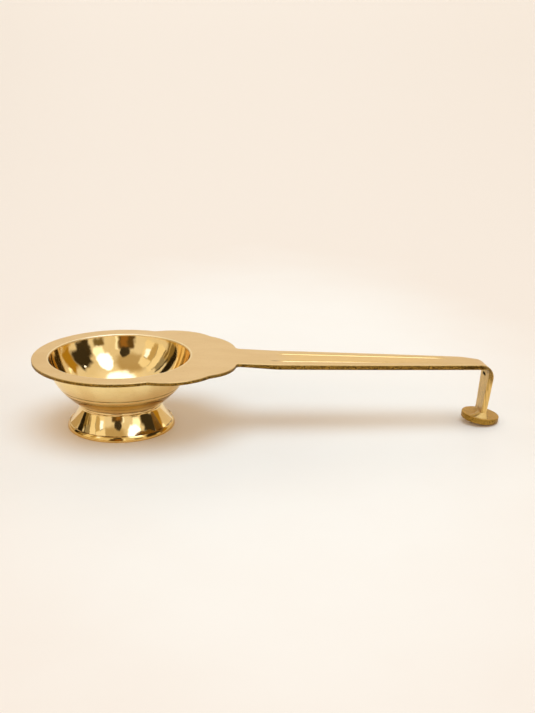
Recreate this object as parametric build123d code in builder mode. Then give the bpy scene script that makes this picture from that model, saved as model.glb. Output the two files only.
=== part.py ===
from build123d import *
from math import cos, radians, sin, sqrt, tan
import os

# Brass aarti lamp: a turned cup on a flared foot, held by a cast plate that is collar, handle and leg in one.
# The origin is the centre of the pedestal's base ring on the floor. +X runs along the handle, +Z is up.
# Lengths are in millimetres and angles in degrees.

# Cup, part of a sphere inside and out
mouth_radius = 34.3
bowl_depth = 27.4  # from the collar's top down to the inside bottom
bowl_wall = 1.7
bowl_floor_gap = 6.4  # from the floor up to the cup's underside
turned_line_drops = (13.6, 15.8)  # below the collar's top, to each turned line round the cup
turned_line_width = 0.7
turned_line_depth = 0.25

# Collar, the flat ring round the mouth
collar_width = 8.2
collar_thickness = 1.7
seat_depth = 0.8  # rebate in the collar's underside that takes the cup's rim
seat_clearance = 0.1  # round the rim, where the braze runs in
lip_rounding = 0.6

# Shoulders, two scallops a side between collar and neck
notch_x = 15.5  # from the cup's axis to where the first scallop leaves the collar
valley_reach = 1.5  # from the collar's edge to where the two scallops meet
valley_half_width = 30.8
first_scallop_rise = 4.9
second_scallop_rise = 3.0
notch_rounding = 4.0
valley_rounding = 4.0
neck_rounding = 2.5

# Blade of the handle
neck_reach = 14.5  # from the collar's edge to the neck
neck_half_width = 11.8
blade_end_half_width = 5.6
blade_side_bow = 0.65
blade_thickness = 2.55
swell_length = 20.0  # past the neck, over which the blade thickens
shoulder_droop = 2.7  # below the collar's plane, from the collar's edge to the end of the swell
blade_droop = 1.3  # from there to the bend
droop_rounding = 200.0  # radius of the gentle bend where each droop begins
plate_edge_rounding = 0.25

# Two raised ribs along the blade's top
rib_start = 19.5  # past the neck
rib_end = 106.0
rib_start_spread = 5.7  # from the middle of the blade
rib_end_spread = 3.6
rib_width = 1.9
rib_height = 0.4
rib_fade = 9.0  # length over which each end sinks into the blade

# Leg with its tenon, and the round foot it stands on
foot_reach = 121.85  # from the neck to the middle of the foot
leg_lean = 7.9
leg_thickness = 2.8
bend_outer_radius = 6.8
bend_inner_radius = 1.6
tenon_width = 6.0
tenon_clearance = 0.1
disc_radius = 9.35
disc_thickness = 3.1
disc_top_rounding = 0.4
disc_bottom_rounding = 0.8

# Pedestal, a hollow trumpet on a ring with a rounded ledge
waist_radius = 19.6  # where the trumpet meets the cup
pedestal_flare = 5.4  # by how much the trumpet's foot is wider than the waist
pedestal_sag = 0.45  # by how much the trumpet's outside is hollow
pedestal_wall = 1.8
band_ledge = 1.4  # by how much the ring stands out from the trumpet's foot
band_height = 2.6
band_width = 3.4  # of the ring that stands on the floor
band_crown = 1.25  # rounding of the ledge
band_rounding = 0.5  # at the floor
bead_radius = 0.8

# Filler metal of the three joints
bowl_fillet = 1.3
pedestal_fillet = 1.6
foot_fillet = 1.9
foot_fillet_height = 2.2
foot_fillet_waist = 0.95  # spread at the middle of its hollow
foot_fillet_waist_height = 0.75
foot_fillet_edge = 0.2  # thickness left where the filler runs out on the leg
joint_overlap = 1.0  # by which a filler profile reaches into its neighbours before it is cut back to them

# Heights
bowl_bottom = bowl_floor_gap + bowl_wall
collar_top = bowl_bottom + bowl_depth
collar_bottom = collar_top - collar_thickness
seat_height = collar_bottom + seat_depth

# Spheres of the cup
seat_to_bottom = seat_height - bowl_bottom
inner_sphere = (mouth_radius**2 + seat_to_bottom**2) / (2 * seat_to_bottom)
outer_sphere = inner_sphere + bowl_wall
sphere_centre = bowl_bottom + inner_sphere

# Places along the handle
collar_radius = mouth_radius + collar_width
neck_x = collar_radius + neck_reach
swell_x = neck_x + swell_length
foot_x = neck_x + foot_reach
rib_axis_depth = (rib_width**2 / 4 - rib_height**2) / (2 * rib_height)

# The foot is square to the leaning leg and touches the floor with its outer edge
lean = radians(leg_lean)
droop = radians(blade_droop)
first_droop = radians(shoulder_droop)
foot_height = (disc_radius - disc_bottom_rounding) * sin(lean) + disc_bottom_rounding * (1 - cos(lean))
foot_plane = Plane(
    origin=(foot_x, 0, foot_height),
    x_dir=(cos(lean), 0, -sin(lean)),
    z_dir=(sin(lean), 0, cos(lean)),
)


def outer_sphere_height(radius):
    """Height of the cup's outside at a distance from its axis."""
    return sphere_centre - sqrt(outer_sphere**2 - radius**2)


def outer_sphere_radius(height):
    """Radius of the cup's outside at a height."""
    return sqrt(outer_sphere**2 - (sphere_centre - height) ** 2)


def blade_top(x):
    """Height of the plate's top at a distance along the handle, past the collar."""
    shoulder_fall = (min(x, swell_x) - collar_radius) * tan(first_droop)
    return collar_top - shoulder_fall - max(0, x - swell_x) * tan(droop)


def leg_crossing(drop, offset):
    """Where a line below the blade's top meets a line beside the leg's middle, as (x, z)."""
    leg_x = foot_x + offset / cos(lean) - foot_height * tan(lean)
    line_height = blade_top(leg_x) - drop
    height = line_height / (1 + tan(droop) * tan(lean))
    return (leg_x + height * tan(lean), height)


def leg_point(height, offset):
    """A point of the leg's side view, by height above the foot's underside and distance from its middle."""
    point = foot_plane.from_local_coords((offset, 0, height))
    return (point.X, point.Z)


os.makedirs("parts", exist_ok=True)

# Cast plate: its outline from above, cut to its side view
outer_bend = leg_crossing(0, leg_thickness / 2)
inner_bend = leg_crossing(blade_thickness, -leg_thickness / 2)
notch = (notch_x, sqrt(collar_radius**2 - notch_x**2))
valley = (collar_radius + valley_reach, valley_half_width)
neck = (neck_x, neck_half_width)
plate_end = (outer_bend[0] + leg_thickness, blade_end_half_width)
ground_side = Vector(1, 0, 1)  # the ground skin, on top of the plate and outside the leg, faces this way
side_tilt = 0.01  # a face that turns towards a side by more than this is a side wall

with BuildPart() as handle_plate:
    with BuildSketch(Plane.XY) as outline:
        with BuildLine():
            RadiusArc((-collar_radius, 0), notch, collar_radius)
            SagittaArc(notch, valley, first_scallop_rise)
            SagittaArc(valley, neck, second_scallop_rise)
            SagittaArc(neck, plate_end, blade_side_bow)
            Line(plate_end, (plate_end[0], 0))
            mirror(about=Plane.XZ)
        make_face()
        for corner, rounding in (
            (notch, notch_rounding),
            (valley, valley_rounding),
            (neck, neck_rounding),
        ):
            for side in (1, -1):
                place = (corner[0], side * corner[1], 0)
                fillet(outline.vertices().sort_by_distance(place)[0], radius=rounding)
    extrude(amount=collar_top)
    with BuildSketch(Plane.XZ) as side_view:
        with BuildLine():
            Polyline(
                (-collar_radius, collar_top),
                (collar_radius, collar_top),
                (swell_x, blade_top(swell_x)),
                outer_bend,
                leg_point(disc_thickness, leg_thickness / 2),
                leg_point(disc_thickness, -leg_thickness / 2),
                inner_bend,
                (swell_x, blade_top(swell_x) - blade_thickness),
                (neck_x, blade_top(neck_x) - collar_thickness),
                (collar_radius, collar_bottom),
                (-collar_radius, collar_bottom),
                close=True,
            )
        make_face()
        for corner, rounding in (
            (outer_bend, bend_outer_radius),
            (inner_bend, bend_inner_radius),
            ((collar_radius, collar_top), droop_rounding),
            ((swell_x, blade_top(swell_x)), droop_rounding),
            ((collar_radius, collar_bottom), droop_rounding),
        ):
            fillet(side_view.vertices().sort_by_distance(corner)[0], radius=rounding)
    extrude(amount=collar_radius, both=True, mode=Mode.INTERSECT)
    # Edges that the grinding has taken the sharpness from
    walls = handle_plate.faces().filter_by(lambda face: abs(face.normal_at().Y) > side_tilt)
    ground = handle_plate.faces().filter_by(lambda face: face.normal_at().dot(ground_side) > 0) - walls
    fillet(walls.edges() & ground.edges(), radius=plate_edge_rounding)
    # Mouth and the rebate under it
    with BuildSketch(Plane.XY.offset(collar_bottom)):
        Circle(mouth_radius)
    extrude(amount=collar_thickness, mode=Mode.SUBTRACT)
    with BuildSketch(Plane.XY.offset(collar_bottom)):
        Circle(outer_sphere_radius(seat_height) + seat_clearance)
    extrude(amount=seat_depth, mode=Mode.SUBTRACT)
    lip = handle_plate.edges().filter_by(GeomType.CIRCLE).sort_by(Axis.Z)[-1]
    fillet(lip, radius=lip_rounding)
    # Ribs, each half of a slender spindle with its axis under the blade's top
    for side in (1, -1):
        rib_from = Vector(
            neck_x + rib_start,
            side * rib_start_spread,
            blade_top(neck_x + rib_start) - rib_axis_depth,
        )
        rib_to = Vector(
            neck_x + rib_end,
            side * rib_end_spread,
            blade_top(neck_x + rib_end) - rib_axis_depth,
        )
        rib_length = (rib_to - rib_from).length
        rib_plane = Plane(origin=rib_from, x_dir=rib_to - rib_from, z_dir=(sin(droop), 0, cos(droop)))
        with BuildSketch(rib_plane):
            with BuildLine():
                Polyline(
                    (0, 0),
                    (0, rib_axis_depth),
                    (rib_fade, rib_axis_depth + rib_height),
                    (rib_length - rib_fade, rib_axis_depth + rib_height),
                    (rib_length, rib_axis_depth),
                    (rib_length, 0),
                    close=True,
                )
            make_face()
        revolve(axis=Axis(rib_from, rib_to - rib_from), revolution_arc=180)
    # Tenon at the leg's end, through the foot
    with BuildSketch(foot_plane):
        Rectangle(leg_thickness, tenon_width)
    extrude(amount=disc_thickness)
handle_plate.part.label = "handle_plate"
export_step(handle_plate.part, "parts/handle_plate.step")

# Cup, seated with its rim in the collar's rebate
with BuildPart() as bowl:
    with BuildSketch(Plane.XZ):
        with BuildLine():
            RadiusArc((0, bowl_floor_gap), (outer_sphere_radius(seat_height), seat_height), -outer_sphere)
            Line((outer_sphere_radius(seat_height), seat_height), (mouth_radius, seat_height))
            RadiusArc((mouth_radius, seat_height), (0, bowl_bottom), inner_sphere)
            Line((0, bowl_bottom), (0, bowl_floor_gap))
        make_face()
    revolve(axis=Axis.Z)
    for drop in turned_line_drops:
        line_height = collar_top - drop
        line_radius = outer_sphere_radius(line_height)
        with BuildSketch(Plane.XZ):
            with Locations((line_radius, line_height)):
                Rectangle(2 * turned_line_depth, turned_line_width)
        revolve(axis=Axis.Z, mode=Mode.SUBTRACT)
bowl.part.label = "bowl"
export_step(bowl.part, "parts/bowl.step")

# Braze run round the cup under the collar
with BuildPart() as bowl_braze:
    fillet_outside = outer_sphere_radius(collar_bottom) + bowl_fillet
    fillet_low = collar_bottom - bowl_fillet
    fillet_hollow = bowl_fillet * sqrt(2)
    with BuildSketch(Plane.XZ):
        with BuildLine():
            low_point = (outer_sphere_radius(fillet_low), fillet_low)
            RadiusArc((fillet_outside, collar_bottom), low_point, fillet_hollow)
            Polyline(
                low_point,
                (low_point[0] - joint_overlap, fillet_low),
                (low_point[0] - joint_overlap, collar_bottom),
                (fillet_outside, collar_bottom),
            )
        make_face()
    revolve(axis=Axis.Z)
    with Locations((0, 0, sphere_centre)):
        Sphere(outer_sphere, mode=Mode.SUBTRACT)
bowl_braze.part.label = "bowl_braze"
export_step(bowl_braze.part, "parts/bowl_braze.step")

# Pedestal, its top cut to the cup it carries
trumpet_foot = (waist_radius + pedestal_flare, band_height)
base_radius = trumpet_foot[0] + band_ledge
waist_height = outer_sphere_height(waist_radius)
with BuildPart() as pedestal:
    with BuildSketch(Plane.XZ) as profile:
        with BuildLine():
            SagittaArc(trumpet_foot, (waist_radius, waist_height), pedestal_sag)
            Polyline(
                (waist_radius, waist_height),
                (waist_radius - pedestal_wall, waist_height),
                (trumpet_foot[0] - pedestal_wall, band_height),
                (base_radius - band_width, 0),
                (base_radius, 0),
                (base_radius, band_height),
                trumpet_foot,
            )
        make_face()
        for corner, rounding in (
            ((base_radius, 0), band_rounding),
            ((base_radius, band_height), band_crown),
        ):
            fillet(profile.vertices().sort_by_distance(corner)[0], radius=rounding)
        with Locations((waist_radius, waist_height)):
            Circle(bead_radius)
    revolve(axis=Axis.Z)
    with Locations((0, 0, sphere_centre)):
        Sphere(outer_sphere, mode=Mode.SUBTRACT)
pedestal.part.label = "pedestal"
export_step(pedestal.part, "parts/pedestal.step")

# Solder run round the cup inside the pedestal
with BuildPart() as pedestal_solder:
    seat_radius = waist_radius - pedestal_wall
    inner_corner = outer_sphere_height(seat_radius)
    run_out = seat_radius - pedestal_fillet
    with BuildSketch(Plane.XZ):
        with BuildLine():
            Polyline(
                (run_out, outer_sphere_height(run_out)),
                (seat_radius + joint_overlap, inner_corner - pedestal_fillet),
                (seat_radius + joint_overlap, inner_corner + joint_overlap),
                (run_out, inner_corner + joint_overlap),
                close=True,
            )
        make_face()
    revolve(axis=Axis.Z)
    with Locations((0, 0, sphere_centre)):
        Sphere(outer_sphere, mode=Mode.SUBTRACT)
    add(pedestal.part, mode=Mode.SUBTRACT)
pedestal_solder.part.label = "pedestal_solder"
export_step(pedestal_solder.part, "parts/pedestal_solder.step")

# Round foot with the slot for the tenon
with BuildPart() as foot_disc:
    with BuildSketch(foot_plane):
        Circle(disc_radius)
    extrude(amount=disc_thickness)
    rims = foot_disc.edges().filter_by(GeomType.CIRCLE).sort_by(Axis.Z)
    fillet(rims[0], radius=disc_bottom_rounding)
    rims = foot_disc.edges().filter_by(GeomType.CIRCLE).sort_by(Axis.Z)
    fillet(rims[-1], radius=disc_top_rounding)
    with BuildSketch(foot_plane):
        Rectangle(leg_thickness + 2 * tenon_clearance, tenon_width + 2 * tenon_clearance)
    extrude(amount=disc_thickness, mode=Mode.SUBTRACT)
foot_disc.part.label = "foot_disc"
export_step(foot_disc.part, "parts/foot_disc.step")

# Braze heaped round the leg's root, hollow towards the leg
with BuildPart() as foot_braze:
    for rise, spread in (
        (0, foot_fillet),
        (foot_fillet_waist_height, foot_fillet_waist),
        (foot_fillet_height, foot_fillet_edge),
    ):
        with BuildSketch(foot_plane.offset(disc_thickness + rise)):
            RectangleRounded(
                leg_thickness + 2 * spread,
                2 * blade_end_half_width + 2 * spread,
                spread,
            )
    loft()
    add(handle_plate.part, mode=Mode.SUBTRACT)
foot_braze.part.label = "foot_braze"
export_step(foot_braze.part, "parts/foot_braze.step")
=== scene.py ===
"""Brass aarti lamp in a pale studio.

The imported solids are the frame. Finer meshes stand for the pieces that show, and each piece gets a brass
finish: the plate is ground satin on top with sand-cast edges, the cup and its pedestal are turned and
polished, and the filler metal of the joints is filed. Sizes are in millimetres until a mesh is made.
"""
import logging
import math
from collections.abc import Sequence
from dataclasses import dataclass, field
from enum import Enum

import bmesh
import bpy
import numpy as np
from mathutils import Matrix, Vector


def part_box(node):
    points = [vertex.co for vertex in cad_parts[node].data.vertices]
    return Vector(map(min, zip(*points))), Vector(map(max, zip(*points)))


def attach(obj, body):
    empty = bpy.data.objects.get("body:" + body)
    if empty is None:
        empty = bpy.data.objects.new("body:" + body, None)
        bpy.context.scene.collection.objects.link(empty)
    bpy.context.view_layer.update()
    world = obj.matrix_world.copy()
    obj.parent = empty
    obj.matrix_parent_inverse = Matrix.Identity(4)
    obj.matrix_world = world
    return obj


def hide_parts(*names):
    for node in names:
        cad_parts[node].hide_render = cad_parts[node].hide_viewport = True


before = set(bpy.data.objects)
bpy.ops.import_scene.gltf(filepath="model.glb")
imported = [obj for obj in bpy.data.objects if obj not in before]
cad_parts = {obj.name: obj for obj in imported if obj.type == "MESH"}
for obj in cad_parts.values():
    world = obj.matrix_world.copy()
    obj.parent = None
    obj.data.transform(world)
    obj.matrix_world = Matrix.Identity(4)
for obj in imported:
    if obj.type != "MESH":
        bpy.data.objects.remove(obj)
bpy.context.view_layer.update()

log = logging.getLogger("lamp")
MM = 0.001
BODY = "root"
SHARP_ANGLE = math.radians(40)
SEAM_GAP = 1e-6
Pair = tuple[float, float]
Triple = tuple[float, float, float]
Colour = tuple[float, float, float]
Socket = bpy.types.NodeSocket
Material = bpy.types.Material
Object = bpy.types.Object
Value = float | Sequence[float] | Socket | Material


class Slot(Enum):
    """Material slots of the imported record."""

    SATIN = "satin_brass"
    POLISHED = "polished_brass"
    CAST = "cast_brass"
    FILLER = "filler_brass"


class Zone(Enum):
    """Point attributes that tell a finish how each place was worked, and where the mouth's lip gets a painted
    highlight.
    """

    CAST = "cast_skin"
    BUFFED = "buffed"
    PANEL = "panel"
    FILED = "filed"
    # The mouth's lip, which the plate's finish paints with a highlight
    RIM = "rim"


class PatchShape(Enum):
    """Outline of a thing that the polish mirrors."""

    OBLONG = "oblong"
    ROUND = "round"


# Plane geometry


@dataclass(frozen=True)
class Ring:
    """A circle in a plane."""

    centre: Pair
    radius: float

    def towards(self, point: Sequence[float]) -> np.ndarray:
        """Return the point of the circle that lies towards another point."""
        away = np.subtract(point, self.centre)
        return np.asarray(self.centre) + self.radius * away / np.linalg.norm(away)

    def arc(self, start: Sequence[float], end: Sequence[float], step: float) -> np.ndarray:
        """Sample the shorter arc between two points of the circle.

        Args:
            start: first point.
            end: last point.
            step: greatest distance between samples.

        Returns:
            The samples, one row each, both ends among them.
        """
        first = math.atan2(start[1] - self.centre[1], start[0] - self.centre[0])
        last = math.atan2(end[1] - self.centre[1], end[0] - self.centre[0])
        sweep = (last - first + math.pi) % (2 * math.pi) - math.pi
        count = max(3, math.ceil(abs(sweep) * self.radius / step) + 1)
        angles = first + np.linspace(0, sweep, count)
        return np.asarray(self.centre) + self.radius * np.column_stack((np.cos(angles), np.sin(angles)))


def bulging(start: Sequence[float], end: Sequence[float], rise: float) -> Ring:
    """Find the circle of an arc that bulges to the left of its chord.

    Args:
        start: first point of the chord.
        end: last point of the chord.
        rise: height of the bulge over the chord.

    Returns:
        The arc's circle.
    """
    chord = np.subtract(end, start)
    length = float(np.linalg.norm(chord))
    radius = (length**2 / 4 + rise**2) / (2 * rise)
    left = np.array((-chord[1], chord[0])) / length
    centre = np.add(start, end) / 2 - left * (radius - rise)
    return Ring((float(centre[0]), float(centre[1])), radius)


def inner_corner(first: Ring, second: Ring, rounding: float, corner: Sequence[float]) -> Ring:
    """Find the circle that rounds the inner corner between two bulging arcs.

    Args:
        first: circle of the arc before the corner.
        second: circle of the arc after it.
        rounding: radius of the rounding.
        corner: the sharp corner, to choose between the two solutions.

    Returns:
        The rounding's circle, which lies outside both arcs.
    """
    one, two = np.asarray(first.centre), np.asarray(second.centre)
    gap = two - one
    distance = float(np.linalg.norm(gap))
    reach_one, reach_two = first.radius + rounding, second.radius + rounding
    along = (reach_one**2 - reach_two**2 + distance**2) / (2 * distance)
    across = math.sqrt(reach_one**2 - along**2)
    normal = np.array((-gap[1], gap[0])) / distance
    choices = [one + gap * along / distance + side * across * normal for side in (1, -1)]
    centre = min(choices, key=lambda place: float(np.linalg.norm(place - np.asarray(corner))))
    return Ring((float(centre[0]), float(centre[1])), rounding)


def rounded_turn(centre: Pair, radius: float, start: float, end: float, count: int) -> list[Pair]:
    """Sample a small arc of a turned profile.

    Args:
        centre: the arc's centre as (radius, height).
        radius: the arc's own radius.
        start: first angle in degrees, from the outward direction.
        end: last angle in degrees.
        count: number of samples.

    Returns:
        The samples as (radius, height).
    """
    angles = np.radians(np.linspace(start, end, count))
    return [(centre[0] + radius * math.cos(a), centre[1] + radius * math.sin(a)) for a in angles]


# Meshes


class Skin:
    """Points and faces of one mesh in the making, with the worked zones of its points."""

    def __init__(self) -> None:
        """Start with no points."""
        self.points: list[Sequence[float]] = []
        self.faces: list[Sequence[int]] = []
        self.zones: dict[Zone, list[float]] = {zone: [] for zone in Zone}

    def row(self, points: Sequence[Sequence[float]], **zones: float | Sequence[float]) -> list[int]:
        """Add a row of points.

        Args:
            points: places in millimetres.
            zones: by zone name in lower case, one value for the row or one for each point.

        Returns:
            The new points' numbers.
        """
        start = len(self.points)
        self.points.extend(points)
        for zone in Zone:
            value = zones.get(zone.name.lower(), 0.0)
            self.zones[zone].extend(np.broadcast_to(value, len(points)).tolist())
        return list(range(start, len(self.points)))

    def strip(self, one: Sequence[int], two: Sequence[int]) -> None:
        """Join two rows of as many points by a strip of quads."""
        for index in range(len(one) - 1):
            self.faces.append((one[index], one[index + 1], two[index + 1], two[index]))

    def piece(self, name: str) -> Object:
        """Make the mesh object, with its faces turned outwards.

        Args:
            name: the object's name.

        Returns:
            The object, linked to the scene.
        """
        mesh = bpy.data.meshes.new(name)
        mesh.from_pydata([tuple(np.asarray(p, float) * MM) for p in self.points], [], self.faces)
        for zone, values in self.zones.items():
            attribute = mesh.attributes.new(zone.value, "FLOAT", "POINT")
            attribute.data.foreach_set("value", np.asarray(values, np.float32))
        outwards(mesh)
        return linked(name, mesh)


def linked(name: str, mesh: bpy.types.Mesh) -> Object:
    """Link a new object with this mesh to the scene."""
    piece = bpy.data.objects.new(name, mesh)
    bpy.context.scene.collection.objects.link(piece)
    return piece


def outwards(mesh: bpy.types.Mesh) -> None:
    """Turn the faces of a closed mesh outwards."""
    work = bmesh.new()
    work.from_mesh(mesh)
    bmesh.ops.recalc_face_normals(work, faces=work.faces)
    work.to_mesh(mesh)
    work.free()


def settle(piece: Object, slot: Slot, *nodes: str) -> None:
    """Shade a finished piece, and let it stand for its solids on the lamp's one body.

    Args:
        piece: the finished object.
        slot: the record's material slot; not used.
        nodes: the solids that it stands for.
    """
    outwards(piece.data)
    piece.data.shade_smooth()
    piece.data.set_sharp_from_angle(angle=SHARP_ANGLE)
    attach(piece, BODY)
    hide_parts(*nodes)
    log.info("%s stands for %s with %d faces", piece.name, ", ".join(nodes), len(piece.data.polygons))


# Node trees


class Nodes:
    """Any node tree in the making."""

    def __init__(self, tree: bpy.types.NodeTree) -> None:
        """Keep the tree that nodes are added to."""
        self.tree = tree

    def add(
        self, kind: str, inputs: dict[str | int, Value] | None = None, **settings: object
    ) -> bpy.types.Node:
        """Add a node.

        Args:
            kind: the node's type.
            inputs: by socket name or number, a value or the socket that it is linked to.
            settings: the node's own properties.

        Returns:
            The node.
        """
        node = self.tree.nodes.new(kind)
        for name, value in settings.items():
            setattr(node, name, value)
        for key, value in (inputs or {}).items():
            if isinstance(value, Socket):
                self.tree.links.new(value, node.inputs[key])
            else:
                node.inputs[key].default_value = value
        return node

    def maths(self, operation: str, one: Value, two: Value = 0.0) -> Socket:
        """Add a maths node and return its result."""
        return self.add("ShaderNodeMath", {0: one, 1: two}, operation=operation).outputs[0]

    def span(
        self, value: Value, low: float, high: float, start: float = 0.0, end: float = 1.0
    ) -> Socket:
        """Map a value smoothly from one span to another, held at the ends."""
        inputs = {"Value": value, "From Min": low, "From Max": high, "To Min": start, "To Max": end}
        return self.add("ShaderNodeMapRange", inputs, interpolation_type="SMOOTHSTEP").outputs["Result"]

    def within(self, value: Value, span: Pair, soft: float) -> Socket:
        """Return 1 inside a span and 0 outside, with soft ends."""
        rise = self.span(value, span[0] - soft, span[0] + soft)
        return self.maths("MULTIPLY", rise, self.span(value, span[1] - soft, span[1] + soft, 1.0, 0.0))

    def blend(self, share: Value, one: Value, two: Value) -> Socket:
        """Mix two colours."""
        ends = [(*colour, 1.0) if isinstance(colour, tuple) else colour for colour in (one, two)]
        return self.add("ShaderNodeMix", {0: share, 6: ends[0], 7: ends[1]}, data_type="RGBA").outputs[2]

    def between(self, share: Value, one: Value, two: Value) -> Socket:
        """Mix two numbers."""
        return self.add("ShaderNodeMix", {0: share, 2: one, 3: two}, data_type="FLOAT").outputs[0]


class Tree(Nodes):
    """A Geometry Nodes tree in the making."""

    def __init__(self, name: str, sizes: dict[str, str]) -> None:
        """Start a tree with a geometry in and out.

        Args:
            name: the tree's name.
            sizes: name and socket type of each further input.
        """
        super().__init__(bpy.data.node_groups.new(name, "GeometryNodeTree"))
        interface = self.tree.interface
        interface.new_socket("Geometry", in_out="INPUT", socket_type="NodeSocketGeometry")
        for label, kind in sizes.items():
            interface.new_socket(label, in_out="INPUT", socket_type=kind)
        interface.new_socket("Material", in_out="INPUT", socket_type="NodeSocketMaterial")
        interface.new_socket("Geometry", in_out="OUTPUT", socket_type="NodeSocketGeometry")
        self.inputs = self.add("NodeGroupInput").outputs

    def finish(self, geometry: Socket) -> None:
        """End the tree in real geometry with its material."""
        real = self.add("GeometryNodeRealizeInstances", {"Geometry": geometry})
        inputs = {0: real.outputs[0], "Material": self.inputs["Material"]}
        dressed = self.add("GeometryNodeSetMaterial", inputs)
        self.add("NodeGroupOutput", {0: dressed.outputs[0]})

    def apply(self, piece: Object, **sizes: float | Material) -> None:
        """Run the tree on a piece and keep the result as its plain mesh.

        Args:
            piece: the object to change.
            sizes: value of each input, by its name in lower case with underscores.
        """
        modifier = piece.modifiers.new(self.tree.name, "NODES")
        modifier.node_group = self.tree
        for item in self.tree.interface.items_tree:
            key = item.name.lower().replace(" ", "_")
            if item.in_out == "INPUT" and key in sizes:
                modifier[item.identifier] = sizes[key]
        evaluated = piece.evaluated_get(bpy.context.evaluated_depsgraph_get())
        mesh = bpy.data.meshes.new_from_object(evaluated)
        piece.modifiers.remove(modifier)
        piece.data = mesh
        mesh.name = piece.name


def lathe_tree() -> Tree:
    """Build the tree that turns a profile of points (radius, 0, height) round the upright axis."""
    tree = Tree("lathe", {"Segments": "NodeSocketInt"})
    profile = tree.inputs["Geometry"]
    columns = tree.maths("ADD", tree.inputs["Segments"], 1.0)
    size = tree.add("GeometryNodeAttributeDomainSize", {"Geometry": profile}, component="MESH")
    counts = {"Vertices X": size.outputs["Point Count"], "Vertices Y": columns}
    grid = tree.add("GeometryNodeMeshGrid", counts)
    index = tree.add("GeometryNodeInputIndex").outputs["Index"]
    row = tree.maths("FLOOR", tree.maths("DIVIDE", tree.maths("ADD", index, 0.5), columns))
    column = tree.maths("SUBTRACT", index, tree.maths("MULTIPLY", row, columns))
    place = tree.add("GeometryNodeInputPosition").outputs["Position"]
    sampled = {"Geometry": profile, "Value": place, "Index": row}
    sample = tree.add("GeometryNodeSampleIndex", sampled, data_type="FLOAT_VECTOR", domain="POINT")
    parts = tree.add("ShaderNodeSeparateXYZ", {0: sample.outputs["Value"]}).outputs
    angle = tree.maths("DIVIDE", tree.maths("MULTIPLY", column, 2 * math.pi), tree.inputs["Segments"])
    across = tree.maths("MULTIPLY", parts["X"], tree.maths("COSINE", angle))
    along = tree.maths("MULTIPLY", parts["X"], tree.maths("SINE", angle))
    turned = tree.add("ShaderNodeCombineXYZ", {"X": across, "Y": along, "Z": parts["Z"]})
    places = {0: grid.outputs["Mesh"], "Position": turned.outputs["Vector"]}
    moved = tree.add("GeometryNodeSetPosition", places)
    closed = tree.add("GeometryNodeMergeByDistance", {0: moved.outputs[0], "Distance": SEAM_GAP})
    tree.finish(closed.outputs["Geometry"])
    return tree


def cast_skin_tree() -> Tree:
    """Build the tree that eats the grain of moulding sand into the cast skin of a piece."""
    tree = Tree("cast_skin", {label: "NodeSocketFloat" for label in ("Grain", "Depth", "Seed")})
    share = tree.add("GeometryNodeInputNamedAttribute", {"Name": Zone.CAST.value}, data_type="FLOAT")
    scale = tree.maths("DIVIDE", 1.0, tree.inputs["Grain"])
    sand = {"W": tree.inputs["Seed"], "Scale": scale, "Detail": 2.0, "Roughness": 0.6}
    noise = tree.add("ShaderNodeTexNoise", sand, noise_dimensions="4D")
    eaten = tree.maths("MULTIPLY", noise.outputs[0], tree.inputs["Depth"])
    eaten = tree.maths("MULTIPLY", eaten, share.outputs["Attribute"])
    normal = tree.add("GeometryNodeInputNormal").outputs["Normal"]
    inwards = tree.maths("MULTIPLY", eaten, -1.0)
    offset = tree.add("ShaderNodeVectorMath", {0: normal, "Scale": inwards}, operation="SCALE")
    places = {0: tree.inputs["Geometry"], "Offset": offset.outputs["Vector"]}
    moved = tree.add("GeometryNodeSetPosition", places)
    tree.finish(moved.outputs["Geometry"])
    return tree


@dataclass(frozen=True)
class Sand:
    """Grain of the moulding sand on a cast piece: its size and depth in millimetres, and its seed."""

    grain: float
    depth: float
    seed: float

    def eat(self, piece: Object, tree: Tree, material: Material) -> None:
        """Eat the grain into the cast skin of a piece and give the piece its finish."""
        tree.apply(piece, grain=self.grain * MM, depth=self.depth * MM, seed=self.seed, material=material)


def turn_piece(
    name: str, profile: Sequence[Pair], tree: Tree, material: Material, segments: int
) -> Object:
    """Turn a profile into a piece.

    Args:
        name: the piece's name.
        profile: points as (radius, height).
        tree: the lathe tree.
        material: its finish.
        segments: number of steps round the axis.

    Returns:
        The piece, upright on the origin's axis.
    """
    mesh = bpy.data.meshes.new(name)
    mesh.from_pydata([(radius * MM, 0.0, height * MM) for radius, height in profile], [], [])
    piece = linked(name, mesh)
    tree.apply(piece, segments=segments, material=material)
    outwards(piece.data)
    return piece


# Finishes


@dataclass(frozen=True)
class Grain:
    """Noise in a finish: the size of its grain in millimetres, and where and how strongly it shows."""

    size: float
    stretch: Triple = (1, 1, 1)
    detail: float = 3.0
    span: Pair = (0.3, 0.7)
    share: float = 1.0


@dataclass(frozen=True)
class Spot:
    """A spot in a finish, in millimetres, that fades out from its core."""

    centre: Triple
    radius: float = 1.0
    stretch: Triple = (1, 1, 1)
    share: float = 1.0
    core: float = 0.4


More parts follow.
